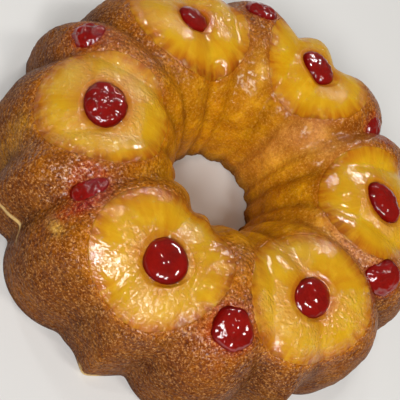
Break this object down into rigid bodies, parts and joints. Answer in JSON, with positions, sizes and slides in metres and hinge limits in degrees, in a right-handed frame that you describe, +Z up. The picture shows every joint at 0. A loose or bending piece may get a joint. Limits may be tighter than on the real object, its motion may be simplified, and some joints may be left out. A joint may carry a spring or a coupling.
{
  "type": "bundt pound cake",
  "caption": "Fluted ring-shaped pound cake baked with pineapple rings and cherries set flush in its rounded top.",
  "frame": {"origin": "centre of the base, on the surface that the cake stands on, on the axis of the middle hole", "axes": "+Z up along the hole's axis; +X through one of the narrow ridges, and the flutes repeat every 45 degrees"},
  "size_m": [0.2542, 0.2498, 0.0684],
  "materials": {
    "baked_crust": "golden brown baked crust with a thin sugar glaze",
    "pineapple": "wet, translucent",
    "cherry": "wet, glossy"
  },
  "bodies": {
    "root": {"cake": "baked_crust", "pineapple_ring_1": "pineapple", "pineapple_ring_2": "pineapple", "pineapple_ring_3": "pineapple", "pineapple_ring_4": "pineapple", "pineapple_ring_5": "pineapple", "pineapple_ring_6": "pineapple", "ring_cherry_1": "cherry", "ring_cherry_2": "cherry", "ring_cherry_3": "cherry", "ring_cherry_4": "cherry", "ring_cherry_5": "cherry", "ring_cherry_6": "cherry", "gap_cherry_1": "cherry", "gap_cherry_2": "cherry", "gap_cherry_3": "cherry", "gap_cherry_4": "cherry", "gap_cherry_5": "cherry", "gap_cherry_6": "cherry"}
  },
  "joints": []
}
